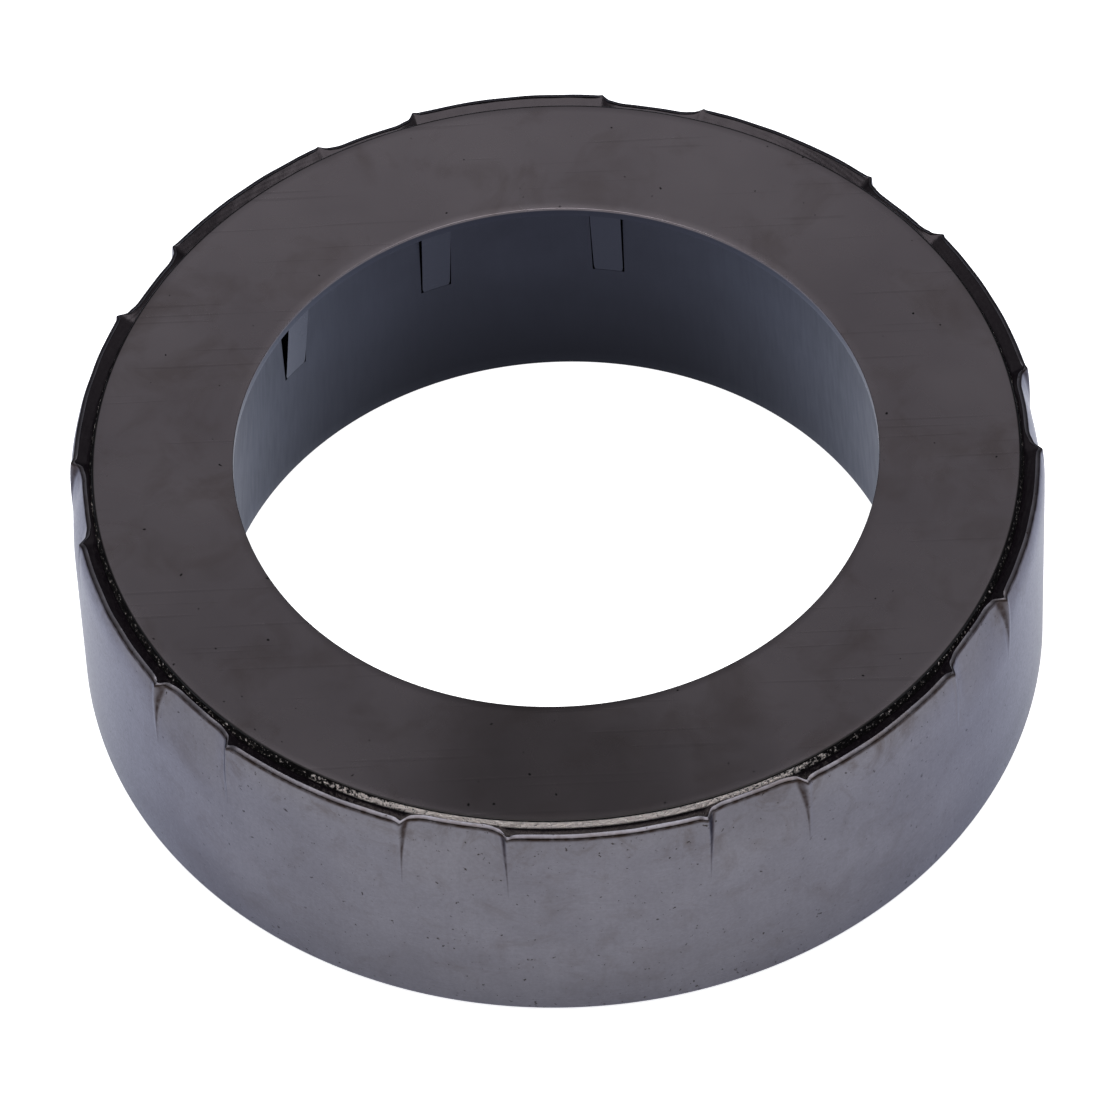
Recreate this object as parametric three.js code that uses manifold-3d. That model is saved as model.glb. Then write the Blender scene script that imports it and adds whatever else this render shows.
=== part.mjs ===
// Magnetic ring for the throat of a food-waste disposer: a flat annular canister of
// plated sheet steel, crimped shut over a ring of ferrite magnets set in resin.
// Millimetres, +Z up through the bore, origin at the centre of the bottom face.
import * as THREE from 'three';
import { mergeVertices } from 'three/addons/utils/BufferGeometryUtils.js';
import Module from 'manifold-3d';

const wasm = await Module();
wasm.setup();

// Driving dimensions
const OUTER_RADIUS = 45;
const HEIGHT = 25.5;
const SHEET = 0.4;
const RIM_DROP = 0.25; // the rim's edge lies this far below the cover's face
const SIDES = 120;
const GAP = 0.2; // clearance between neighbouring pieces
const CUT = 1; // how far a cutting shape runs past the piece that it cuts

// Can
const FLOOR_HOLE_RADIUS = 33;
const FLOOR_CORNER = 0.6;
const RIM_Z = HEIGHT - RIM_DROP;

// Crimps: short panels of the rim pressed in against the cover's edge
const CRIMP_COUNT = 10;
const CRIMP_START_DEG = 4;
const CRIMP_FOOT_Z = RIM_Z - 8.2;
const CRIMP_ROWS_Z = [CRIMP_FOOT_Z, CRIMP_FOOT_Z + 3.5, CRIMP_FOOT_Z + 6.2];
const CRIMP_REACH = 1; // the wall's points this near its outer face are pressed in
const PANEL_HALF_DEG = 4.5;
const PANEL_BEND = 1.6;
const RIM_BEND = 4;
// Degrees from the middle of a crimp, and how far the rim's edge is pressed in there.
const CRIMP_SHAPE = [[0, 1.4], [3, 1.4], [6, 0.3], [9, 0.55], [18, 0.55]];

// Cover plate
const COVER_THICKNESS = 1;
const COVER_OUTER_RADIUS = 42.9;
const COVER_INNER_RADIUS = 29.75;
const COVER_BEVEL = 0.3;
const COVER_UNDER_Z = HEIGHT - COVER_THICKNESS;

// Locating tabs, bent down from the cover's inner edge, in two facing groups
const TAB_WIDTH = 3;
const TAB_END_Z = 14.9;
const TAB_SETBACK = 0.75; // how far a tab's face starts behind the cover's inner edge
const TAB_LEAN = 1;
const TAB_THICKNESS = 0.8;
const TAB_SLIT = 0.2;
const TAB_PITCH_DEG = 30.3;
const TAB_GROUP_CENTRES_DEG = [109.7, 289.7];

// Sleeve: the bore's wall, wider at its foot, where it stands in the hole in the can's floor
const SLEEVE_TOP_RADIUS = 31;
const SLEEVE_FOOT_RADIUS = 32.4;
const SLEEVE_TOP_Z = COVER_UNDER_Z - GAP;
const WINDOW_DEPTH = 4;

// Cage: moulded base ring with a round peg between each two magnets
const CAGE_INNER_RADIUS = 34;
const CAGE_OUTER_RADIUS = 43.8;
const CAGE_BOTTOM_Z = SHEET + GAP;
const CAGE_TOP_Z = CAGE_BOTTOM_Z + 1.5;
const PEG_RADIUS = 2.5;
const PEG_CIRCLE_RADIUS = 40;
const PEG_HEIGHT = 6;
const PEG_ROOT = 0.5;
const PEG_SIDES = 12;

// Magnets
const MAGNET_COUNT = 12;
const MAGNET_WIDTH = 15;
const MAGNET_DEPTH = 7.5;
const MAGNET_HEIGHT = 20;
const MAGNET_CIRCLE_RADIUS = 38.2;
const MAGNET_BOTTOM_Z = CAGE_TOP_Z + GAP;

// Resin
const RESIN_INNER_RADIUS = 33.3;
const RESIN_BOTTOM_Z = CAGE_TOP_Z + GAP;
const RESIN_TOP_Z = RIM_Z - 0.8;
const RESIN_WALL_GAP = 0.35;

const rad = THREE.MathUtils.degToRad;

// How far the sheet is pressed in at an azimuth and a height.
function pressedIn(azimuthDeg, z) {
  if (z <= CRIMP_FOOT_Z) return 0;
  const pitch = 360 / CRIMP_COUNT;
  const turn = THREE.MathUtils.euclideanModulo(azimuthDeg - CRIMP_START_DEG, pitch);
  const offset = Math.min(turn, pitch - turn);
  let depth = CRIMP_SHAPE[0][1];
  for (let i = 1; i < CRIMP_SHAPE.length; i += 1) {
    const [from, depthFrom] = CRIMP_SHAPE[i - 1];
    const [to, depthTo] = CRIMP_SHAPE[i];
    if (offset >= from) depth = THREE.MathUtils.mapLinear(offset, from, to, depthFrom, depthTo);
  }
  const rise = (z - CRIMP_FOOT_Z) / (RIM_Z - CRIMP_FOOT_Z);
  return depth * rise ** (offset < PANEL_HALF_DEG ? PANEL_BEND : RIM_BEND);
}

// A ring about +Z whose section is a closed list of [radius, height] points.
function ring(section) {
  const points = [...section, section[0]].map(([r, z]) => new THREE.Vector2(r, z));
  const geometry = new THREE.LatheGeometry(points, SIDES);
  geometry.rotateX(Math.PI / 2);
  geometry.rotateZ(Math.PI / 2 + rad(CRIMP_START_DEG));
  return welded(geometry);
}

// The same geometry with only its shared corner points left.
function welded(geometry) {
  geometry.deleteAttribute('normal');
  geometry.deleteAttribute('uv');
  return mergeVertices(geometry);
}

// Presses the points near the can's wall in at the crimps.
function crimped(geometry) {
  const position = geometry.getAttribute('position');
  for (let i = 0; i < position.count; i += 1) {
    const x = position.getX(i);
    const y = position.getY(i);
    const radius = Math.hypot(x, y);
    if (radius > OUTER_RADIUS - CRIMP_REACH) {
      const azimuth = THREE.MathUtils.radToDeg(Math.atan2(y, x));
      const scale = (radius - pressedIn(azimuth, position.getZ(i))) / radius;
      position.setX(i, x * scale);
      position.setY(i, y * scale);
    }
  }
  return geometry;
}

function toSolid(geometry) {
  const clean = geometry.index && !geometry.getAttribute('uv') ? geometry : welded(geometry);
  const vertProperties = new Float32Array(clean.getAttribute('position').array);
  const triVerts = new Uint32Array(clean.index.array);
  return new wasm.Manifold(new wasm.Mesh({ numProp: 3, vertProperties, triVerts }));
}

function toGeometry(solid) {
  const { vertProperties, triVerts } = solid.getMesh();
  const geometry = new THREE.BufferGeometry();
  geometry.setAttribute('position', new THREE.BufferAttribute(vertProperties, 3));
  geometry.setIndex(new THREE.BufferAttribute(triVerts, 1));
  return geometry;
}

// Moves a shape made at azimuth 0, with +X outward, round to another azimuth.
function turned(geometry, azimuthDeg) {
  return geometry.rotateZ(rad(azimuthDeg));
}

// A block standing on edge at azimuth 0.
function block(depth, width, zLow, zHigh, radius) {
  const geometry = new THREE.BoxGeometry(depth, width, zHigh - zLow);
  return geometry.translate(radius, 0, (zLow + zHigh) / 2);
}

function canGeometry() {
  const inside = OUTER_RADIUS - SHEET;
  const bends = [...CRIMP_ROWS_Z, RIM_Z];
  const section = [
    [FLOOR_HOLE_RADIUS, 0],
    [OUTER_RADIUS - FLOOR_CORNER, 0],
    [OUTER_RADIUS, FLOOR_CORNER],
    ...bends.map((z) => [OUTER_RADIUS, z]),
    ...bends.toReversed().map((z) => [inside, z]),
    [inside, SHEET],
    [FLOOR_HOLE_RADIUS, SHEET],
  ];
  return crimped(ring(section));
}

function tabAzimuths() {
  const steps = [-1, 0, 1];
  return TAB_GROUP_CENTRES_DEG.flatMap((centre) => steps.map((step) => centre + step * TAB_PITCH_DEG));
}

// One tab: it starts inside the cover's edge and leans out until it is flush with the sleeve.
function tabGeometry() {
  const top = COVER_UNDER_Z + COVER_THICKNESS / 2;
  const face = COVER_INNER_RADIUS + TAB_SETBACK;
  const side = new THREE.Shape();
  side.moveTo(face, top);
  side.lineTo(face, COVER_UNDER_Z);
  side.lineTo(face + TAB_LEAN, TAB_END_Z);
  side.lineTo(face + TAB_LEAN + TAB_THICKNESS, TAB_END_Z);
  side.lineTo(face + TAB_THICKNESS, COVER_UNDER_Z);
  side.lineTo(face + TAB_THICKNESS, top);
  const geometry = new THREE.ExtrudeGeometry(side, { depth: TAB_WIDTH, bevelEnabled: false });
  geometry.translate(0, 0, -TAB_WIDTH / 2);
  return geometry.rotateX(Math.PI / 2);
}

function coverGeometry() {
  const section = [
    [COVER_INNER_RADIUS, COVER_UNDER_Z],
    [COVER_OUTER_RADIUS, COVER_UNDER_Z],
    [COVER_OUTER_RADIUS, HEIGHT - COVER_BEVEL],
    [COVER_OUTER_RADIUS - COVER_BEVEL, HEIGHT],
    [COVER_INNER_RADIUS, HEIGHT],
  ];
  let solid = toSolid(ring(section));
  for (const azimuth of tabAzimuths()) {
    solid = solid.add(toSolid(turned(tabGeometry(), azimuth)));
  }
  return toGeometry(solid);
}

function sleeveGeometry() {
  const section = [
    [SLEEVE_FOOT_RADIUS, 0],
    [SLEEVE_FOOT_RADIUS + SHEET, 0],
    [SLEEVE_TOP_RADIUS + SHEET, SLEEVE_TOP_Z],
    [SLEEVE_TOP_RADIUS, SLEEVE_TOP_Z],
  ];
  const windowWidth = TAB_WIDTH + 2 * TAB_SLIT;
  let solid = toSolid(ring(section));
  for (const azimuth of tabAzimuths()) {
    const window = block(WINDOW_DEPTH, windowWidth, TAB_END_Z - TAB_SLIT, HEIGHT, SLEEVE_TOP_RADIUS);
    solid = solid.subtract(toSolid(turned(window, azimuth)));
  }
  return toGeometry(solid);
}

function magnetAzimuth(index) {
  return (index * 360) / MAGNET_COUNT;
}

function pegAzimuth(index) {
  return magnetAzimuth(index + 0.5);
}

// A peg at azimuth 0, or with a clearance, the hole that it stands in.
function pegGeometry(clearance) {
  const low = CAGE_TOP_Z - PEG_ROOT;
  const high = CAGE_TOP_Z + PEG_HEIGHT + clearance;
  const radius = PEG_RADIUS + clearance;
  const geometry = new THREE.CylinderGeometry(radius, radius, high - low, PEG_SIDES);
  geometry.rotateX(Math.PI / 2);
  return geometry.translate(PEG_CIRCLE_RADIUS, 0, (low + high) / 2);
}

function cageGeometry() {
  const section = [
    [CAGE_INNER_RADIUS, CAGE_BOTTOM_Z],
    [CAGE_OUTER_RADIUS, CAGE_BOTTOM_Z],
    [CAGE_OUTER_RADIUS, CAGE_TOP_Z],
    [CAGE_INNER_RADIUS, CAGE_TOP_Z],
  ];
  let solid = toSolid(ring(section));
  for (let i = 0; i < MAGNET_COUNT; i += 1) {
    solid = solid.add(toSolid(turned(pegGeometry(0), pegAzimuth(i))));
  }
  return toGeometry(solid);
}

// Resin round the magnets, risen in the gap between the cover's edge and the rim.
function resinGeometry() {
  const outside = OUTER_RADIUS - SHEET - RESIN_WALL_GAP;
  const bends = [RESIN_BOTTOM_Z, ...CRIMP_ROWS_Z, RESIN_TOP_Z];
  const section = [
    [RESIN_INNER_RADIUS, RESIN_BOTTOM_Z],
    ...bends.map((z) => [outside, z]),
    [RESIN_INNER_RADIUS, RESIN_TOP_Z],
  ];
  const coverSpace = [
    [RESIN_INNER_RADIUS - CUT, COVER_UNDER_Z - GAP],
    [COVER_OUTER_RADIUS + GAP, COVER_UNDER_Z - GAP],
    [COVER_OUTER_RADIUS + GAP, HEIGHT],
    [RESIN_INNER_RADIUS - CUT, HEIGHT],
  ];
  let solid = toSolid(crimped(ring(section))).subtract(toSolid(ring(coverSpace)));
  const pocketTop = MAGNET_BOTTOM_Z + MAGNET_HEIGHT + GAP;
  for (let i = 0; i < MAGNET_COUNT; i += 1) {
    const pocket = block(
      MAGNET_DEPTH + 2 * GAP,
      MAGNET_WIDTH + 2 * GAP,
      CAGE_BOTTOM_Z,
      pocketTop,
      MAGNET_CIRCLE_RADIUS,
    );
    solid = solid.subtract(toSolid(turned(pocket, magnetAzimuth(i))));
    solid = solid.subtract(toSolid(turned(pegGeometry(GAP), pegAzimuth(i))));
  }
  return toGeometry(solid);
}

function magnetGeometry() {
  const top = MAGNET_BOTTOM_Z + MAGNET_HEIGHT;
  return block(MAGNET_DEPTH, MAGNET_WIDTH, MAGNET_BOTTOM_Z, top, MAGNET_CIRCLE_RADIUS);
}

function named(name, geometry, material) {
  const mesh = new THREE.Mesh(geometry, material);
  mesh.name = name;
  return mesh;
}

const group = new THREE.Group();

group.add(named('outer_can', canGeometry(), new THREE.MeshStandardMaterial({
  color: 0x7c7c86,
  roughness: 0.35,
  metalness: 0.9,
})));
group.add(named('cover_plate', coverGeometry(), new THREE.MeshStandardMaterial({
  color: 0x4a4646,
  roughness: 0.3,
  metalness: 0.9,
})));
group.add(named('inner_sleeve', sleeveGeometry(), new THREE.MeshStandardMaterial({
  color: 0x3c4048,
  roughness: 0.4,
  metalness: 0.85,
})));
group.add(named('potting_resin', resinGeometry(), new THREE.MeshStandardMaterial({
  color: 0x0a0a0b,
  roughness: 0.15,
  metalness: 0,
})));
group.add(named('magnet_cage', cageGeometry(), new THREE.MeshStandardMaterial({
  color: 0x2a2a2c,
  roughness: 0.6,
  metalness: 0,
})));

for (let i = 0; i < MAGNET_COUNT; i += 1) {
  const material = new THREE.MeshStandardMaterial({ color: 0x2e2d2c, roughness: 0.7, metalness: 0.1 });
  const magnet = named(`magnet_${String(i + 1).padStart(2, '0')}`, magnetGeometry(), material);
  magnet.rotation.z = rad(magnetAzimuth(i));
  group.add(magnet);
}

export default group;
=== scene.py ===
"""Looks for the magnetic ring: fine sheet-metal meshes, black-nickel plating and glossy resin.

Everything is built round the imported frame, in metres, +Z up through the bore.
"""

import math

import bpy
import numpy as np
from mathutils import Matrix, Vector


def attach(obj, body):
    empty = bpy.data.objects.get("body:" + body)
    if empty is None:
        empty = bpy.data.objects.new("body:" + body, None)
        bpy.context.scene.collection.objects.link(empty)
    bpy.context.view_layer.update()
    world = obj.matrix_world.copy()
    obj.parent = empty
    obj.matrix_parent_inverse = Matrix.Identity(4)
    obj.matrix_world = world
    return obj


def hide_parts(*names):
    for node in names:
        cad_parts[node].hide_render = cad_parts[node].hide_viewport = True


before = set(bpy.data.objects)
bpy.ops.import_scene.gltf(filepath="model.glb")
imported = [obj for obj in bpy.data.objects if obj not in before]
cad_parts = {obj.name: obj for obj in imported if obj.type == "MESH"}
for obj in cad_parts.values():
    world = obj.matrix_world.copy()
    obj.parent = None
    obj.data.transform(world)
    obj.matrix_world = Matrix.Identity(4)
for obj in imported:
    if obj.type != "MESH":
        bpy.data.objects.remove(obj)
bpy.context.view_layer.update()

MM = 0.001


# ---------------------------------------------------------------- sizes from the frame

def node_points(node):
    """Distance from the axis and height of each of a CAD node's corners."""
    co = np.array([v.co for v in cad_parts[node].data.vertices])
    return np.hypot(co[:, 0], co[:, 1]), co[:, 2]


can_r, can_z = node_points("outer_can")
cover_r, cover_z = node_points("cover_plate")
sleeve_r, sleeve_z = node_points("inner_sleeve")

LEVEL = 0.1 * MM  # corners this close to a height are at it

OUTER = can_r.max()
HEIGHT = cover_z.max()
RIM_Z = can_z.max()
FLOOR_HOLE = can_r.min()
COVER_RIM = cover_r.max() + 0.2 * MM  # a little further under the rim than the CAD plate
COVER_INNER = cover_r[cover_z > HEIGHT - LEVEL].min()
SLEEVE_TOP_Z = sleeve_z.max()
SLEEVE_TOP = sleeve_r[sleeve_z > SLEEVE_TOP_Z - LEVEL].min()
SLEEVE_FOOT = sleeve_r[sleeve_z < LEVEL].min()

# Sheet metal
SHEET = 0.36 * MM
RIM_ROUND = 0.12 * MM  # round outer corner of the rim's cut edge
RIM_SLOPE = 0.1 * MM  # the cut edge falls this much outwards
RIM_FACING = 72  # degrees from outwards to straight up: the way the cut edge faces
RIM_BURR = 0.03 * MM  # round inner corner of the cut edge
RIM_WAVE = 0.05 * MM  # how uneven the rim is, both inwards and in height
COVER_THICK = 1.0 * MM
COVER_EDGE = 0.15 * MM
COVER_SHEAR = 0.3 * MM  # the sheared outer edge slopes out this far towards its foot
COVER_LIP = 0.1 * MM  # upright stretch at that edge's foot
BORE_EDGE = 0.07 * MM
SLEEVE_EDGE = 0.15 * MM
FLOOR_CORNER = 0.7 * MM
FLOOR_BEVEL = 0.1 * MM  # on the edge of the floor's hole

# Crimps: short panels pressed in deeply, with a long stretch of rim between them that only
# leans in at its edge. Angles are in degrees.
CRIMPS = 10
CRIMP_START = 4.0
CRIMP_FOOT = RIM_Z - 8.6 * MM
CRIMP_HALF = 6.3  # from a crimp's middle to its sharp corner
CRIMP_FLAT = 3.0  # from a crimp's middle to the end of its full depth
RIM_RUN = 2.2  # from a sharp corner to the rim's full depth
PANEL_DEPTH, PANEL_BEND = 1.4 * MM, 1.9  # the depth grows as this power of the height
RIM_DEPTH, RIM_BEND = 0.55 * MM, 7
CORNER_DEPTH, CORNER_BEND = 0.4 * MM, 3

# Folds: the sheet is pinched into a ridge at both ends of every crimp
FOLD_RIDGE = 0.16 * MM
FOLD_GROOVE = 0.1 * MM
FOLD_WIDTH = 0.42  # degrees, at the rim
FOLD_NARROW = 0.35  # the part of that width left at the crimps' foot
GROOVE_OFFSET = 2.1  # from ridge to groove, in fold widths
FOLD_DIP = 0.14 * MM  # the cut edge dips at each sharp corner
FOLD_DIP_WIDTH = 0.7  # degrees
FOLD_STAIN_AND_SHADE = 1.3  # degrees
STAIN_AND_SHADE_LINE = 0.07  # degrees, where the brown staining and painted crease shade run out to a line

# Marks on the rim, in millimetres below it
CUT_BELOW = 0.2  # how far down the bare cut edge goes
LINE_BELOW = 0.24  # the middle of the dark line under it: brown staining and painted shade
LINE_FADE = 0.15

# Tabs on the cover's inner edge
TAB_PITCH = 30.3  # degrees
TAB_GROUPS = (109.7, 289.7)  # azimuth of each group's middle tab
TAB_END_Z = 14.9 * MM
TAB_SETBACK = 0.75 * MM
TAB_TOP_WIDTH = 2.95 * MM
TAB_END_WIDTH = 2.76 * MM
TAB_CORNER = 0.12 * MM
TAB_THICK = 0.8 * MM
TAB_SLIT = 0.14 * MM
TORN_TAB = TAB_GROUPS[0] + TAB_PITCH  # the window beside this tab is torn open at its top
TORN_WIDTH = 0.9 * MM

# Resin bead
BEAD_SLOPE = 0.4  # its fall towards the cover, as a part of its width
BEAD_TUCK = 0.3 * MM  # how far it goes in under the cover's edge
BEAD_TOP = RIM_Z - 0.13 * MM  # where it meets the rim

# Mesh steps round the ring
RING_STEPS = 720
CAN_STEPS = 900
BEAD_STEPS = 1440


# ---------------------------------------------------------------- mesh helpers

def new_object(name, verts, faces):
    """A mesh object in the scene."""
    mesh = bpy.data.meshes.new(name)
    mesh.from_pydata(verts, [], faces)
    mesh.validate()
    mesh.update()
    obj = bpy.data.objects.new(name, mesh)
    bpy.context.scene.collection.objects.link(obj)
    return obj


def shade_smooth(obj, angle=40):
    """Smooth shading, with sharp edges where faces meet at more than angle degrees."""
    obj.data.polygons.foreach_set("use_smooth", [True] * len(obj.data.polygons))
    obj.data.set_sharp_from_angle(angle=math.radians(angle))


def swept_ring(name, section, azimuth, bend=None):
    """A ring about Z. section is a closed list of (radius, height), anticlockwise as drawn
    with the radius to the right; bend(azimuth, radius, height) may move its points."""
    section = np.array(section)
    rows = len(section)
    steps = len(azimuth)
    phi, radius = np.meshgrid(azimuth, section[:, 0], indexing="ij")
    height = np.broadcast_to(section[:, 1], radius.shape)
    if bend:
        radius, height = bend(phi, radius, height)
    angle = np.radians(phi)
    co = np.stack([radius * np.cos(angle), radius * np.sin(angle), height], -1)
    j, i = np.meshgrid(np.arange(steps), np.arange(rows), indexing="ij")
    j1, i1 = (j + 1) % steps, (i + 1) % rows
    faces = np.stack([j * rows + i, j1 * rows + i, j1 * rows + i1, j * rows + i1], -1)
    obj = new_object(name, co.reshape(-1, 3).tolist(), faces.reshape(-1, 4).tolist())
    shade_smooth(obj)
    return obj


def even_azimuths(steps):
    """Evenly spaced degrees, once round."""
    return np.linspace(0, 360, steps, endpoint=False)


def add_mask(obj, name, values):
    """Stores one number from 0 to 1 at each corner, for the shader to read."""
    mask = obj.data.attributes.new(name, "FLOAT", "POINT")
    mask.data.foreach_set("value", np.clip(values, 0, 1).astype(np.float32).ravel())


def arc(centre, radius, start, end, count):
    """Points of a round corner, from one angle to another in degrees."""
    angles = np.radians(np.linspace(start, end, count))
    return [(centre[0] + radius * math.cos(a), centre[1] + radius * math.sin(a)) for a in angles]


def span(start, end, count):
    """Evenly spaced points between two, without either end."""
    return [tuple(p) for p in np.linspace(start, end, count + 2)[1:-1]]


def ripple(phi, seed, waves, size):
    """A smooth uneven line round the ring, the same on every run."""
    rng = np.random.default_rng(seed)
    total = np.zeros_like(phi)
    for wave in waves:
        total += np.sin(np.radians(phi) * wave + rng.uniform(0, 2 * math.pi)) * rng.uniform(0.4, 1)
    return size * total / len(waves)


# ---------------------------------------------------------------- outer can

def crimp_offset(phi):
    """Degrees from the middle of the nearest crimp."""
    pitch = 360 / CRIMPS
    turn = (phi - CRIMP_START) % pitch
    return np.minimum(turn, pitch - turn)


def crimp_rise(height):
    """0 at the foot of the crimps, 1 at the rim's edge."""
    return np.clip((height - CRIMP_FOOT) / (RIM_Z - CRIMP_FOOT), 0, 1)


def fold_strength(phi):
    """How strong each of the folds is: there is one in every half pitch."""
    strengths = np.random.default_rng(11).uniform(0.55, 1.25, 2 * CRIMPS)
    half_pitch = 180 / CRIMPS
    index = ((phi - CRIMP_START) % 360 / half_pitch).astype(int) % (2 * CRIMPS)
    return strengths[index]


def pressed_in(phi, height):
    """How far the can's wall is pressed in: short panels deep, the long rim only at its edge,
    and the sharp corners between them less."""
    rise = crimp_rise(height)
    offset = crimp_offset(phi)
    corner = CORNER_DEPTH * rise ** CORNER_BEND
    panel = PANEL_DEPTH * rise ** PANEL_BEND
    rim = RIM_DEPTH * rise ** RIM_BEND
    into_panel = np.clip((CRIMP_HALF - offset) / (CRIMP_HALF - CRIMP_FLAT), 0, 1)
    into_rim = np.clip((offset - CRIMP_HALF) / RIM_RUN, 0, 1)
    inside = corner + (panel - corner) * (1 - (1 - into_panel) ** 2.4)
    outside = corner + (rim - corner) * (1 - (1 - into_rim) ** 2)
    return np.where(offset < CRIMP_HALF, inside, outside)


def fold(phi, height):
    """How far the folds stand out: a ridge, with a shallow groove on its crimp's side."""
    rise = crimp_rise(height)
    across = CRIMP_HALF - crimp_offset(phi)
    width = FOLD_WIDTH * (FOLD_NARROW + (1 - FOLD_NARROW) * rise)
    ridge = FOLD_RIDGE * np.exp(-((across / width) ** 2))
    groove = FOLD_GROOVE * np.exp(-((across / width - GROOVE_OFFSET) ** 2))
    return (ridge - groove) * fold_strength(phi) * rise ** 1.2


def fold_stain_and_shade(phi, height):
    """Painted crease shade and brown staining: a wedge under each sharp corner, wide at the rim,
    running out to a line.
    """
    rise = crimp_rise(height)
    across = CRIMP_HALF - crimp_offset(phi)
    half = 0.5 * FOLD_STAIN_AND_SHADE * rise ** 2.2 * fold_strength(phi) + STAIN_AND_SHADE_LINE
    # painted crease shade, with brown staining, in a wedge along each fold
    wedge = np.clip(1.4 * (1 - np.abs(across - half) / half), 0, 1)
    return wedge * np.clip(0.2 + 1.5 * rise, 0, 1) * (rise > 0)


def can_azimuths():
    """Even steps, with fine ones across the folds at both ends of every crimp."""
    pitch = 360 / CRIMPS
    fine = np.arange(-2.0, 3.0, 0.085)
    ends = [CRIMP_START + k * pitch + side * (CRIMP_HALF - fine)
            for k in range(CRIMPS) for side in (-1, 1)]
    return np.unique(np.round(np.concatenate([even_azimuths(CAN_STEPS), *ends]) % 360, 3))


def can_section():
    """Across the can's sheet: its floor, its wall and the rim's sloping cut edge."""
    inner = OUTER - SHEET
    shoulder = RIM_Z - RIM_SLOPE - RIM_ROUND
    section = [(FLOOR_HOLE, FLOOR_BEVEL), (FLOOR_HOLE + FLOOR_BEVEL, 0)]
    section += span((FLOOR_HOLE, 0), (OUTER - FLOOR_CORNER, 0), 8)
    section += arc((OUTER - FLOOR_CORNER, FLOOR_CORNER), FLOOR_CORNER, -90, 0, 8)
    section += span((OUTER, FLOOR_CORNER), (OUTER, CRIMP_FOOT), 4)
    crowded = 1 - (1 - np.linspace(0, 1, 36)) ** 1.5  # closer together towards the rim
    section += [(OUTER, CRIMP_FOOT + (shoulder - CRIMP_FOOT) * t) for t in crowded[:-1]]
    section += arc((OUTER - RIM_ROUND, shoulder), RIM_ROUND, 0, RIM_FACING, 7)
    section += arc((inner + RIM_BURR, RIM_Z - RIM_BURR), RIM_BURR, RIM_FACING, 180, 4)
    section += span((inner, RIM_Z - RIM_BURR), (inner, CRIMP_FOOT), 18)
    section += [(inner, CRIMP_FOOT), (inner, SHEET), (FLOOR_HOLE, SHEET)]
    return section


def bend_can(phi, radius, height):
    """Presses the wall in, raises the folds and makes the rim slightly uneven."""
    rise = crimp_rise(height)
    move = fold(phi, height) - pressed_in(phi, height)
    move = move + ripple(phi, 21, (17, 31, 53, 71), RIM_WAVE) * rise ** 5
    dip = FOLD_DIP * np.exp(-(((CRIMP_HALF - crimp_offset(phi)) / FOLD_DIP_WIDTH) ** 2))
    drop = dip - ripple(phi, 22, (11, 23, 47, 61), RIM_WAVE)
    wall = radius > OUTER - 1.0 * MM
    return radius + np.where(wall, move, 0), height - np.where(wall, drop * rise ** 6, 0)


def mask_can(obj, section, azimuth):
    """Marks the rim's bare cut edge, and the brown stains and painted shade below it and at the
    folds.
    """
    inner = OUTER - SHEET
    phi, radius = np.meshgrid(azimuth, section[:, 0], indexing="ij")
    height = np.broadcast_to(section[:, 1], radius.shape)
    outside = radius > inner + 0.5 * SHEET
    below = (RIM_Z - height) / MM
    cut_face = (radius < OUTER - 0.95 * RIM_ROUND) & (below < CUT_BELOW)
    add_mask(obj, "bare", cut_face & (radius > inner + 0.2 * SHEET))
    # painted shade: a dark line under the bare cut edge, with brown staining
    line = np.clip(1.6 - np.abs(below - LINE_BELOW) / LINE_FADE, 0, 1)
    line = line * (radius > OUTER - 0.8 * RIM_ROUND)
    add_mask(obj, "stain_and_shade", np.where(outside, np.maximum(line, fold_stain_and_shade(phi, height)), 0))


def make_can():
    """The can's sheet, swept round and pressed, with its wear, stains and painted shade marked."""
    section = can_section()
    azimuth = can_azimuths()
    obj = swept_ring("can_shell", section, azimuth, bend=bend_can)
    mask_can(obj, np.array(section), azimuth)
    return obj


# ---------------------------------------------------------------- cover plate

def tab_azimuths():
    """The middle of each tab, in degrees: two facing groups of three."""
    return [centre + step * TAB_PITCH for centre in TAB_GROUPS for step in (-1, 0, 1)]


def sleeve_inner(height):
    """The sleeve's inner radius at a height."""
    return SLEEVE_FOOT + (SLEEVE_TOP - SLEEVE_FOOT) * height / SLEEVE_TOP_Z


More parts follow.
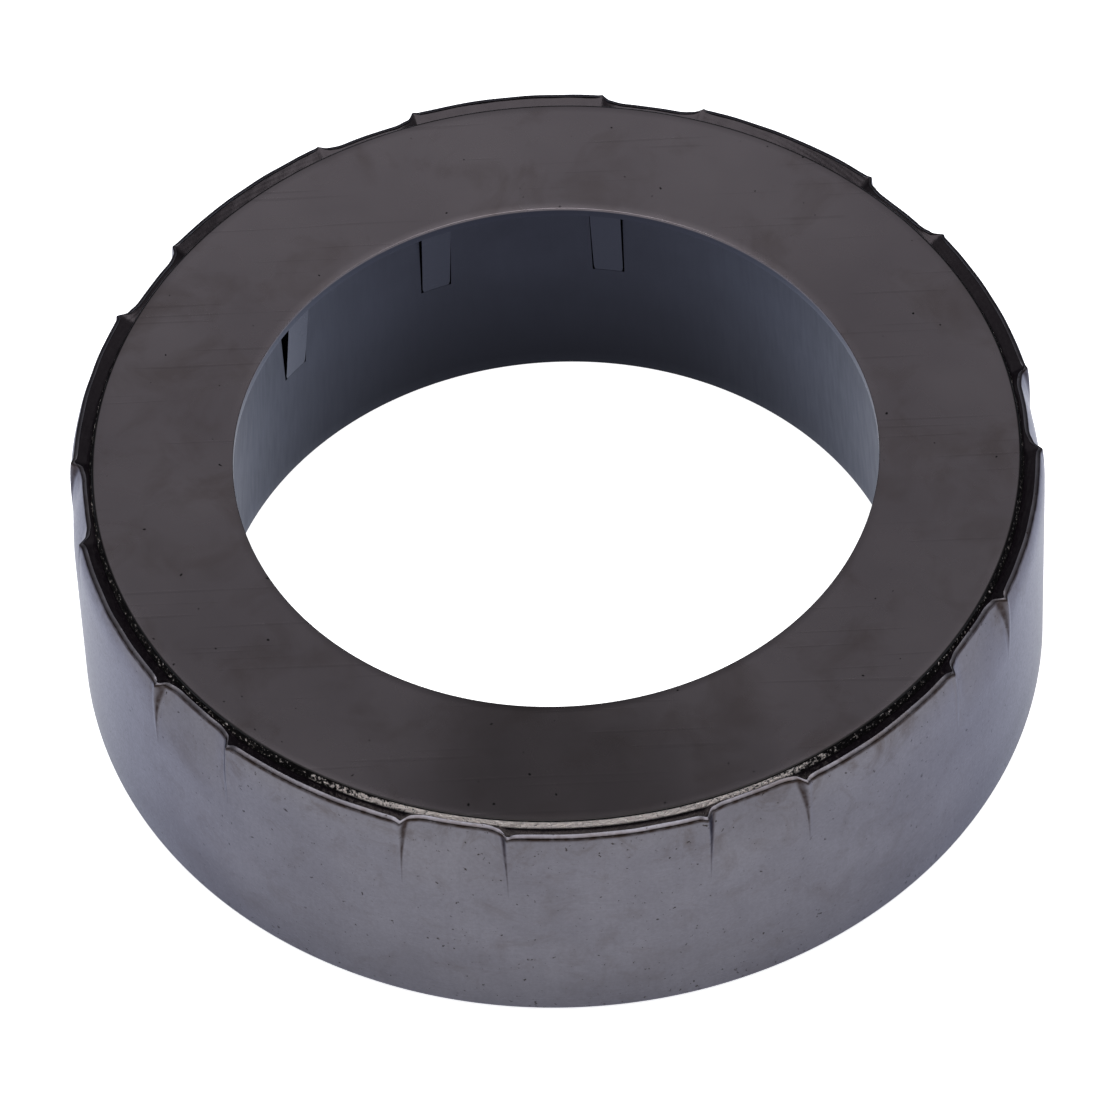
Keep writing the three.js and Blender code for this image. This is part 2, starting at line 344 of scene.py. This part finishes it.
def make_tab(azimuth):
    """One tab: it hangs from the cover's edge, narrows, and leans out to meet the sleeve."""
    rows, columns = 22, 9
    top = HEIGHT - 0.5 * COVER_THICK
    down = np.linspace(0, 1, rows)
    height = top + (TAB_END_Z - top) * down
    start = COVER_INNER + TAB_SETBACK
    face = start + (sleeve_inner(TAB_END_Z) - start) * down ** 1.1
    half = (TAB_TOP_WIDTH + (TAB_END_WIDTH - TAB_TOP_WIDTH) * down) / 2
    corner = np.clip((down - 0.96) / 0.04, 0, 1)
    half = half - TAB_CORNER * corner ** 2
    verts = []
    for layer in (0, TAB_THICK):
        for i in range(rows):
            for t in np.linspace(-1, 1, columns):
                angle = math.radians(azimuth) + t * half[i] / face[i]
                r = face[i] + layer
                verts.append((r * math.cos(angle), r * math.sin(angle), height[i]))
    faces = []
    count = rows * columns

    def at(layer, i, k):
        return layer * count + i * columns + k

    for i in range(rows - 1):
        for k in range(columns - 1):
            faces.append((at(0, i, k), at(0, i, k + 1), at(0, i + 1, k + 1), at(0, i + 1, k)))
            faces.append((at(1, i, k), at(1, i + 1, k), at(1, i + 1, k + 1), at(1, i, k + 1)))
        for k, flip in ((0, False), (columns - 1, True)):
            quad = (at(0, i, k), at(0, i + 1, k), at(1, i + 1, k), at(1, i, k))
            faces.append(quad[::-1] if flip else quad)
    for k in range(columns - 1):
        faces.append((at(0, 0, k), at(1, 0, k), at(1, 0, k + 1), at(0, 0, k + 1)))
        last = rows - 1
        faces.append((at(0, last, k), at(0, last, k + 1), at(1, last, k + 1), at(1, last, k)))
    return new_object(f"tab_{azimuth:.0f}", verts, faces)


def boolean(obj, other, operation):
    """Joins or cuts obj with another object, which is then deleted."""
    modifier = obj.modifiers.new("boolean", "BOOLEAN")
    modifier.operation = operation
    modifier.object = other
    modifier.solver = "EXACT"
    apply_modifiers(obj)
    bpy.data.objects.remove(other)


def apply_modifiers(obj):
    """Keeps the mesh as its modifiers leave it, and drops them."""
    graph = bpy.context.evaluated_depsgraph_get()
    mesh = bpy.data.meshes.new_from_object(obj.evaluated_get(graph))
    obj.modifiers.clear()
    obj.data = mesh


def make_cover():
    """The plate, with a sheared outer edge and its tabs joined on."""
    low = HEIGHT - COVER_THICK
    near = COVER_INNER + BORE_EDGE
    shoulder = COVER_RIM - COVER_SHEAR
    far = shoulder - COVER_EDGE
    section = span((COVER_INNER, low), (COVER_RIM, low), 3) + [(COVER_RIM, low)]
    section += span((COVER_RIM, low + COVER_LIP), (shoulder, HEIGHT - COVER_EDGE), 5)
    section += arc((far, HEIGHT - COVER_EDGE), COVER_EDGE, 0, 90, 7)
    section += span((far, HEIGHT), (near, HEIGHT), 16)
    section += arc((near, HEIGHT - BORE_EDGE), BORE_EDGE, 90, 180, 5)
    section += [(COVER_INNER, low)]
    obj = swept_ring("cover", section, even_azimuths(RING_STEPS))
    for azimuth in tab_azimuths():
        boolean(obj, make_tab(azimuth), "UNION")
    shade_smooth(obj, 35)
    return obj


# ---------------------------------------------------------------- sleeve

def window_cutter(azimuth):
    """A block, narrower at its foot, that cuts one tab's window out of the sleeve."""
    low_half = TAB_END_WIDTH / 2 + TAB_SLIT
    top_half = TAB_TOP_WIDTH / 2 + TAB_SLIT
    torn = TORN_WIDTH if azimuth == TORN_TAB else 0
    near, far = SLEEVE_TOP - 3 * MM, SLEEVE_FOOT + 3 * MM
    corners = []
    for z, half, extra in ((TAB_END_Z - 0.05 * MM, low_half, 0), (HEIGHT, top_half, torn)):
        for x, y in ((near, -half), (far, -half), (far, half + extra), (near, half + extra)):
            corners.append(Matrix.Rotation(math.radians(azimuth), 3, "Z") @ Vector((x, y, z)))
    faces = [(3, 2, 1, 0), (4, 5, 6, 7)]
    faces += [(k, (k + 1) % 4, (k + 1) % 4 + 4, k + 4) for k in range(4)]
    return new_object(f"window_{azimuth:.0f}", [tuple(c) for c in corners], faces)


def make_sleeve():
    """The flared tube of the bore, with a window cut round each tab."""
    section = [(SLEEVE_FOOT + SLEEVE_EDGE, 0), (SLEEVE_FOOT + SHEET, 0)]
    section += [(SLEEVE_TOP + SHEET, SLEEVE_TOP_Z), (SLEEVE_TOP, SLEEVE_TOP_Z)]
    section += span((SLEEVE_TOP, SLEEVE_TOP_Z), (SLEEVE_FOOT, SLEEVE_EDGE), 14)
    section += arc((SLEEVE_FOOT + SLEEVE_EDGE, SLEEVE_EDGE), SLEEVE_EDGE, 180, 255, 5)
    obj = swept_ring("bore_sleeve", section, even_azimuths(RING_STEPS))
    for azimuth in tab_azimuths():
        boolean(obj, window_cutter(azimuth), "DIFFERENCE")
    shade_smooth(obj, 35)
    return obj


# ---------------------------------------------------------------- resin bead

def make_bead():
    """The resin between the cover's edge and the rim, risen up the rim as a smooth slope.
    Its section runs from 0, under the cover, to 1, inside the rim's sheet."""
    low = HEIGHT - COVER_THICK - BEAD_TUCK
    near = COVER_RIM - BEAD_TUCK
    section = [(0.0, low), (1.0, low)]
    section += [(t, HEIGHT) for t in np.linspace(1, 0, 14)]

    def bend(phi, across, height):
        far = OUTER - SHEET * 0.6 - pressed_in(phi, np.full_like(phi, RIM_Z - 0.2 * MM))
        radius = near + (far - near) * across
        top = BEAD_TOP - BEAD_SLOPE * (far - radius)
        top = top + ripple(phi, 3, (7, 13, 29, 41), 0.06 * MM)
        top = top + ripple(phi + 40 * across, 5, (83, 127, 173), 0.012 * MM)
        return radius, np.where(height > low, top, low)

    return swept_ring("resin_bead", section, even_azimuths(BEAD_STEPS), bend=bend)


# ---------------------------------------------------------------- materials

class Shader:
    """A node material under construction."""

    def __init__(self, name):
        self.material = bpy.data.materials.new(name)
        self.material.use_nodes = True
        self.tree = self.material.node_tree
        self.surface = self.tree.nodes["Principled BSDF"]
        self.place = self.node("ShaderNodeTexCoord").outputs["Object"]

    def node(self, kind, inputs=None, **settings):
        """A new node, with its settings made and its inputs fed."""
        made = self.tree.nodes.new(kind)
        for key, value in settings.items():
            setattr(made, key, value)
        for key, value in (inputs or {}).items():
            self.feed(made.inputs[key], value)
        return made

    def feed(self, socket, value):
        """Links another node's output to a socket, or sets the socket's own value."""
        if isinstance(value, bpy.types.NodeSocket):
            self.tree.links.new(value, socket)
        else:
            socket.default_value = value

    def mapped(self, scale=(1, 1, 1), turn=(0, 0, 0)):
        """The place on the ring, turned by degrees and stretched, for a streaky noise."""
        rotation = tuple(math.radians(t) for t in turn)
        inputs = {"Vector": self.place, "Rotation": rotation, "Scale": scale}
        return self.node("ShaderNodeMapping", inputs).outputs["Vector"]

    def noise(self, size, detail=3, rough=0.55, distortion=0, vector=None):
        """Noise whose blotches are about size across."""
        inputs = {
            "Vector": vector or self.place,
            "Scale": 1 / size,
            "Detail": detail,
            "Roughness": rough,
            "Distortion": distortion,
        }
        return self.node("ShaderNodeTexNoise", inputs).outputs["Fac"]

    def ramp(self, value, low, high, out_low=0.0, out_high=1.0):
        """out_low up to low, out_high from high on, and a straight slope between them."""
        inputs = {
            "Value": value,
            "From Min": low,
            "From Max": high,
            "To Min": out_low,
            "To Max": out_high,
        }
        return self.node("ShaderNodeMapRange", inputs, clamp=True).outputs["Result"]

    def maths(self, operation, a, b=0.0):
        """One sum on two values."""
        return self.node("ShaderNodeMath", {0: a, 1: b}, operation=operation).outputs[0]

    def mix(self, factor, a, b):
        """Colour a where factor is 0, and b where it is 1."""
        made = self.node("ShaderNodeMix", data_type="RGBA")
        self.feed(made.inputs[0], factor)
        self.feed(made.inputs[6], a)
        self.feed(made.inputs[7], b)
        return made.outputs[2]

    def position(self):
        """Distance from the ring's axis, Y, and height over its foot."""
        split = self.node("ShaderNodeSeparateXYZ", {0: self.place}).outputs
        flat = self.node("ShaderNodeCombineXYZ", {"X": split["X"], "Y": split["Y"]}).outputs[0]
        radius = self.node("ShaderNodeVectorMath", {0: flat}, operation="LENGTH").outputs["Value"]
        return radius, split["Y"], split["Z"]

    def distance(self, point):
        """How far each place is from a point."""
        inputs = {0: self.place, 1: point}
        return self.node("ShaderNodeVectorMath", inputs, operation="DISTANCE").outputs["Value"]

    def mask(self, name):
        """A mask that add_mask has stored."""
        return self.node("ShaderNodeAttribute", attribute_name=name).outputs["Fac"]

    def hairlines(self, length, width, turn, amount):
        """Fine scratches of about that length and width, running along a turned X axis."""
        vector = self.mapped(scale=(width / length, 1, 1), turn=turn)
        line = self.noise(width * 8, detail=0, vector=vector)
        return self.ramp(line, amount, amount + 0.03)

    def bump(self, height, distance, strength, under=None):
        """Relief from height, distance deep, on top of the relief under it."""
        inputs = {"Height": height, "Distance": distance, "Strength": strength}
        if under is not None:
            inputs["Normal"] = under
        return self.node("ShaderNodeBump", inputs).outputs["Normal"]

    def plated(self, base, rough, bump, edge):
        """Black nickel; edge is its colour at grazing angles, darker than a bright metal's."""
        return self.finish(
            Base_Color=base, Roughness=rough, Normal=bump, Metallic=1.0, Specular_Tint=edge)

    def finish(self, **sockets):
        """Feeds the shader's own sockets, named with _ for a space, and gives the material."""
        for key, value in sockets.items():
            self.feed(self.surface.inputs[key.replace("_", " ")], value)
        return self.material


def colour(red, green, blue):
    return (red, green, blue, 1.0)


BLACK = colour(0, 0, 0)
WHITE = colour(1, 1, 1)

CAN_DIM = colour(0.1, 0.096, 0.111)
CAN_BRIGHT = colour(0.118, 0.114, 0.131)
CAN_GRAZING = colour(0.61, 0.63, 0.72)
CAN_BROWN = colour(0.06, 0.049, 0.046)
CAN_DRAWN = colour(0.06, 0.058, 0.066)
CAN_MOTTLE = colour(0.055, 0.052, 0.056)
CAN_PIT = colour(0.025, 0.021, 0.02)
BROWN_STAIN_AND_SHADE = colour(0.02, 0.014, 0.012)
CUT_EDGE = colour(0.6, 0.47, 0.36)

COVER_DIM = colour(0.118, 0.104, 0.114)
COVER_BRIGHT = colour(0.146, 0.13, 0.14)
COVER_SMOKE = colour(0.08, 0.064, 0.062)
COVER_SHADE_AND_SCRATCH = colour(0.03, 0.026, 0.027)
COVER_SPECK = colour(0.008, 0.008, 0.008)
COVER_CORNER_SHADE = colour(0.015, 0.014, 0.014)
SHEARED_DARK = colour(0.012, 0.011, 0.011)
BARE_METAL = colour(1.0, 0.9, 0.84)

# the sleeve's slate in a lit and a shaded copy, and a darker tone for its cloud and painted shade
SLEEVE_CLOUD_AND_SHADE = colour(0.006, 0.0062, 0.0095)
SLEEVE_BLUE_SHADED = colour(0.0145, 0.0155, 0.0235)
SLEEVE_BLUE_LIT = colour(0.03, 0.034, 0.05)
INNER_GRAZING = colour(0.74, 0.76, 0.83)  # for the cover and the sleeve

RESIN_DARK = colour(0.003, 0.002, 0.003)
RESIN_LIGHT = colour(0.006, 0.005, 0.006)
RESIN_SHINE = colour(1, 0.88, 0.96)


def can_plating(s, height, draw, mottle):
    """Violet-grey plate with brown blotches, draw marks and mottling, darkened by painted shade
    towards its foot, and pitted there."""
    cloud = s.ramp(s.noise(9 * MM, detail=4), 0.35, 0.65)
    base = s.mix(cloud, CAN_DIM, CAN_BRIGHT)
    blotch = s.ramp(s.noise(4 * MM, detail=7, rough=0.72, distortion=0.8), 0.5, 0.7)
    upper = s.ramp(height, RIM_Z - 7 * MM, RIM_Z - 1 * MM, 0.35, 0.8)
    base = s.mix(s.maths("MULTIPLY", blotch, upper), base, CAN_BROWN)
    base = s.mix(s.ramp(draw, 0.3, 0.7, 0, 0.1), base, CAN_DRAWN)
    base = s.mix(mottle, base, CAN_MOTTLE)
    # painted shade: the plate darkens towards the foot
    base = s.mix(s.ramp(height, 0, 9 * MM, 0.16, 0), base, BLACK)
    near_foot = s.ramp(height, 0.6 * MM, 3.2 * MM, 0.05, 0)
    pits = s.ramp(s.maths("ADD", s.noise(0.5 * MM, detail=3), near_foot), 0.68, 0.71)
    return s.mix(pits, base, CAN_PIT)


def can_wear_and_shade(s, base):
    """Brown stains and painted shade at the folds and under the rim, then the bare cut edge of the
    rim, both uneven.
    """
    uneven = s.ramp(s.noise(0.8 * MM, detail=3), 0.3, 0.6, 0.6, 1)
    # painted shade and brown staining at the folds and under the rim
    base = s.mix(s.maths("MULTIPLY", s.mask("stain_and_shade"), uneven), base, BROWN_STAIN_AND_SHADE)
    chipped = s.ramp(s.noise(0.35 * MM, detail=3), 0.3, 0.45, 0.6, 1)
    return s.mix(s.maths("MULTIPLY", s.mask("bare"), chipped), base, CUT_EDGE)


def can_steel():
    """Black-nickel plate on drawn steel: satin, stained and painted with shade at the folds, under
    the rim and at the foot, and worn on the rim.
    """
    s = Shader("can_plating")
    height = s.position()[2]
    draw = s.noise(0.5 * MM, detail=3, vector=s.mapped(scale=(1, 1, 0.06)))
    most_mottled = 0.22
    mottle = s.ramp(s.noise(0.35 * MM, detail=5, rough=0.7), 0.35, 0.65, 0, most_mottled)
    base = can_wear_and_shade(s, can_plating(s, height, draw, mottle))
    rough = s.ramp(mottle, 0, most_mottled, 0.29, 0.35)
    grain = s.noise(0.12 * MM, detail=2)
    scratches = s.hairlines(7 * MM, 0.04 * MM, (0, 12, 0), 0.68)
    bump = s.bump(draw, 0.006 * MM, 0.4)
    bump = s.bump(grain, 0.004 * MM, 0.5, under=bump)
    bump = s.bump(scratches, -0.004 * MM, 0.8, under=bump)
    return s.plated(base, rough, bump, CAN_GRAZING)


def slate(s, along):
    """Blue-slate plating with painted shade on the Y sides, and how far round to a Y side a point
    is.
    """
    # painted shade: darker towards the Y sides, lighter towards X
    back = s.ramp(s.maths("ABSOLUTE", along), 14 * MM, 30 * MM)
    return s.mix(back, SLEEVE_BLUE_LIT, SLEEVE_BLUE_SHADED), back


def cover_plating(s, along, lines):
    """The plate's face: cloudy, smoked brown, speckled and scratched, and darkened by painted
    shade towards -Y, most of all round one place at its edge."""
    cloud = s.ramp(s.noise(24 * MM, detail=3), 0.3, 0.7)
    base = s.mix(cloud, COVER_DIM, COVER_BRIGHT)
    smoke = s.ramp(s.noise(7 * MM, detail=4, rough=0.6, distortion=0.5), 0.5, 0.7)
    base = s.mix(s.maths("MULTIPLY", smoke, 0.45), base, COVER_SMOKE)
    # painted shade: the face darkens towards -Y
    base = s.mix(s.ramp(along, -36 * MM, 36 * MM, 0.42, 0), base, BLACK)
    # painted shade: a dark patch round one place at the face's -Y edge; the same dark colour also
    # draws the scratches
    painted_shade_spot = s.distance((0, -38 * MM, HEIGHT))
    painted_shade_spot = s.maths("ADD", painted_shade_spot, s.maths("MULTIPLY", cloud, 7 * MM))
    base = s.mix(s.ramp(painted_shade_spot, 9 * MM, 24 * MM, 0.65, 0), base, COVER_SHADE_AND_SCRATCH)
    specks = s.ramp(s.noise(0.8 * MM, detail=1), 0.77, 0.79)
    base = s.mix(specks, base, COVER_SPECK)
    return s.mix(s.maths("MULTIPLY", lines, 0.12), base, COVER_SHADE_AND_SCRATCH)


def sheared_metal(s, along, height, crumbs):
    """Rough dark metal with bare flecks along its middle, most of them at -Y."""
    patchy = s.maths("ADD", crumbs, s.ramp(along, -42 * MM, -35 * MM, 0.16, -0.12))
    shiny = s.ramp(height, HEIGHT - 0.8 * MM, HEIGHT - 0.62 * MM)
    shiny = s.maths("MULTIPLY", shiny, s.ramp(patchy, 0.46, 0.56))
    return s.mix(shiny, SHEARED_DARK, BARE_METAL)


def cover_steel():
    """The cover's darker, glossier plating, with painted shade; its sheared outer edge is rough
    bare metal, and its inner edge and tabs are as blue as the sleeve, with its painted shade on the
    Y sides."""
    s = Shader("cover_plating")
    radius, along, height = s.position()
    lines = s.hairlines(2.5 * MM, 0.05 * MM, (0, 0, 25), 0.72)
    base = cover_plating(s, along, lines)
    inside = s.maths("LESS_THAN", radius, COVER_INNER + 4 * MM)
    below_face = s.ramp(height, HEIGHT - 0.3 * MM, HEIGHT - 0.05 * MM, 1, 0)
    # the inner edge and tabs take the sleeve's slate, painted shade on the Y sides included
    base = s.mix(s.maths("MULTIPLY", inside, below_face), base, slate(s, along)[0])
    outer = COVER_RIM - COVER_SHEAR - COVER_EDGE
    # painted shade on the face's rounded outer corner
    base = s.mix(s.ramp(radius, outer - 0.1 * MM, outer), base, COVER_CORNER_SHADE)
    below_edge = s.maths("LESS_THAN", height, HEIGHT - COVER_EDGE)
    sheared = s.maths("MULTIPLY", below_edge, s.maths("GREATER_THAN", radius, outer))
    crumbs = s.noise(0.3 * MM, detail=4, rough=0.7)
    base = s.mix(sheared, base, sheared_metal(s, along, height, crumbs))
    rough = s.ramp(s.noise(10 * MM, detail=4), 0.3, 0.7, 0.24, 0.3)
    rough = s.maths("ADD", rough, s.maths("MULTIPLY", sheared, 0.3))
    bump = s.bump(lines, -0.003 * MM, 0.6)
    bump = s.bump(s.noise(14 * MM, detail=2), 0.1 * MM, 0.4, under=bump)
    bump = s.bump(s.maths("MULTIPLY", crumbs, sheared), 0.3 * MM, 1.0, under=bump)
    return s.plated(base, rough, bump, INNER_GRAZING)


def sleeve_steel():
    """The bore's wall: blue-slate satin plating, cloudy, with painted shade on the Y sides, deepest
    at their foot.
    """
    s = Shader("sleeve_plating")
    along, height = s.position()[1:]
    base, back = slate(s, along)
    cloud = s.ramp(s.noise(8 * MM, detail=4), 0.35, 0.65, 0, 0.25)
    base = s.mix(cloud, base, SLEEVE_CLOUD_AND_SHADE)
    # painted shade: darker towards the foot on the Y sides
    foot = s.ramp(height, 2 * MM, 17 * MM, 1, 0)
    base = s.mix(s.maths("MULTIPLY", foot, back), base, SLEEVE_CLOUD_AND_SHADE)
    draw = s.noise(0.4 * MM, detail=3, vector=s.mapped(scale=(1, 1, 0.08)))
    rough = s.ramp(draw, 0.3, 0.7, 0.36, 0.42)
    bump = s.bump(draw, 0.006 * MM, 0.4)
    return s.plated(base, rough, bump, INNER_GRAZING)


def black_resin():
    """Glossy black resin with a fine uneven skin."""
    s = Shader("black_resin")
    grain = s.noise(0.4 * MM, detail=4, rough=0.6)
    base = s.mix(s.ramp(grain, 0.4, 0.7), RESIN_DARK, RESIN_LIGHT)
    rough = s.ramp(s.noise(1.5 * MM), 0.3, 0.7, 0.16, 0.28)
    bump = s.bump(grain, 0.015 * MM, 0.5)
    return s.finish(
        Base_Color=base, Roughness=rough, Normal=bump, Specular_IOR_Level=0.2,
        Specular_Tint=RESIN_SHINE)


def ferrite():
    """Matt dark-grey pressed ceramic."""
    s = Shader("ferrite")
    grain = s.noise(0.3 * MM, detail=4)
    base = s.mix(grain, colour(0.025, 0.024, 0.023), colour(0.05, 0.048, 0.046))
    rough = s.ramp(grain, 0.3, 0.7, 0.55, 0.75)
    return s.finish(Base_Color=base, Roughness=rough, Normal=s.bump(grain, 0.02 * MM, 0.5))


def cage_plastic():
    """Matt black moulded plastic."""
    s = Shader("cage_plastic")
    grain = s.noise(0.25 * MM, detail=3)
    base = s.mix(grain, colour(0.02, 0.02, 0.021), colour(0.032, 0.032, 0.034))
    rough = s.ramp(grain, 0.3, 0.7, 0.5, 0.62)
    return s.finish(Base_Color=base, Roughness=rough, Normal=s.bump(grain, 0.01 * MM, 0.4))


def dress(obj, material):
    """Makes this the object's only material."""
    obj.data.materials.clear()
    obj.data.materials.append(material)


# ---------------------------------------------------------------- assembly

def stand_for(obj, node, material):
    """obj shows in place of a CAD node."""
    dress(obj, material)
    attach(obj, "root")
    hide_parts(node)


def build_ring():
    """Fine meshes for the steel pieces and the bead; the potted pieces keep their CAD shapes."""
    stand_for(make_can(), "outer_can", can_steel())
    stand_for(make_cover(), "cover_plate", cover_steel())
    stand_for(make_sleeve(), "inner_sleeve", sleeve_steel())
    resin = black_resin()
    bead = make_bead()
    dress(bead, resin)
    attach(bead, "root")
    dress(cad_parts["potting_resin"], resin)
    dress(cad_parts["magnet_cage"], cage_plastic())
    magnet = ferrite()
    for name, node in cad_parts.items():
        if name.startswith("magnet_") and name != "magnet_cage":
            dress(node, magnet)


# ---------------------------------------------------------------- studio

FLOOR_HALF = 2.0
FLOOR_GLOW = 0.8


def make_floor():
    """White paper that gives off a little light, so that it stays white inside the bore."""
    corners = [(x * FLOOR_HALF, y * FLOOR_HALF, 0) for x, y in ((-1, -1), (1, -1), (1, 1), (-1, 1))]
    floor = new_object("floor", corners, [(0, 1, 2, 3)])
    floor.location.z = -0.02 * MM  # just clear of the ring's foot
    s = Shader("floor_paper")
    tone = s.noise(120 * MM, detail=2)
    paper = s.mix(tone, colour(0.88, 0.88, 0.88), colour(0.9, 0.9, 0.9))
    dress(floor, s.finish(
        Base_Color=paper, Roughness=0.9, Emission_Color=WHITE, Emission_Strength=FLOOR_GLOW))


def area_light(name, place, width, depth, power, tint=(1, 1, 1)):
    """A softbox that faces the ring."""
    data = bpy.data.lights.new(name, "AREA")
    data.shape = "RECTANGLE"
    data.size = width
    data.size_y = depth
    data.energy = power
    data.color = tint
    obj = bpy.data.objects.new(name, data)
    obj.location = place
    obj.rotation_euler = (-Vector(place)).to_track_quat("-Z", "Y").to_euler()
    bpy.context.scene.collection.objects.link(obj)


def make_lights():
    """A softbox overhead, and a cooler, weaker one at either side."""
    cool = (0.72, 0.84, 1.0)
    area_light("top_softbox", (0, 0, 1.5), 1.1, 1.1, 17)
    area_light("left_softbox", (-1.5, -0.2, 0.5), 0.8, 0.9, 4.5, cool)
    area_light("right_softbox", (1.5, -0.2, 0.5), 0.8, 0.9, 4.5, cool)


HORIZON = colour(0.07, 0.07, 0.078)
CEILING = colour(0.68, 0.68, 0.7)
HORIZON_TOP = 0.45  # sine of the elevation where the horizon's tone starts to change
CEILING_FOOT = 0.8  # sine of the elevation where the ceiling's tone is reached


def make_world():
    """The room that the metal mirrors: a dark horizon under a pale ceiling."""
    world = bpy.data.worlds.new("studio")
    world.use_nodes = True
    nodes, links = world.node_tree.nodes, world.node_tree.links
    place = nodes.new("ShaderNodeTexCoord")
    split = nodes.new("ShaderNodeSeparateXYZ")
    rise = nodes.new("ShaderNodeMapRange")
    tone = nodes.new("ShaderNodeMix")
    tone.data_type = "RGBA"
    rise.inputs["From Min"].default_value = HORIZON_TOP
    rise.inputs["From Max"].default_value = CEILING_FOOT
    tone.inputs[6].default_value = HORIZON
    tone.inputs[7].default_value = CEILING
    links.new(place.outputs["Generated"], split.inputs[0])
    links.new(split.outputs["Z"], rise.inputs["Value"])
    links.new(rise.outputs["Result"], tone.inputs[0])
    links.new(tone.outputs[2], nodes["Background"].inputs["Color"])
    bpy.context.scene.world = world


CAMERA_ELEVATION = 51.3
CAMERA_RADII = 20  # distance, in outer radii
CAMERA_AIM = (-0.0116, 0.1475)  # to the right of and above the ring's foot, in outer radii
CAMERA_ROLL = -2.66
CAMERA_LENS = 310.2
CAMERA_SENSOR = 36


def make_camera():
    """Looks down at the ring from -Y, with a little roll."""
    elevation = math.radians(CAMERA_ELEVATION)
    back = Vector((0, -math.cos(elevation), math.sin(elevation)))
    up = Vector((0, math.sin(elevation), math.cos(elevation)))
    right = Vector((1, 0, 0))
    aim = right * (CAMERA_AIM[0] * OUTER) + up * (CAMERA_AIM[1] * OUTER)
    data = bpy.data.cameras.new("camera")
    data.sensor_width = CAMERA_SENSOR
    data.lens = CAMERA_LENS
    camera = bpy.data.objects.new("camera", data)
    camera.location = back * (CAMERA_RADII * OUTER)
    facing = (aim - camera.location).to_track_quat("-Z", "Y").to_matrix()
    roll = Matrix.Rotation(math.radians(CAMERA_ROLL), 3, "Z")
    camera.rotation_euler = (facing @ roll).to_euler()
    data.clip_start, data.clip_end = 0.05, 10
    bpy.context.scene.collection.objects.link(camera)
    bpy.context.scene.camera = camera


build_ring()
make_floor()
make_lights()
make_world()
make_camera()
bpy.context.scene.view_settings.view_transform = "Standard"
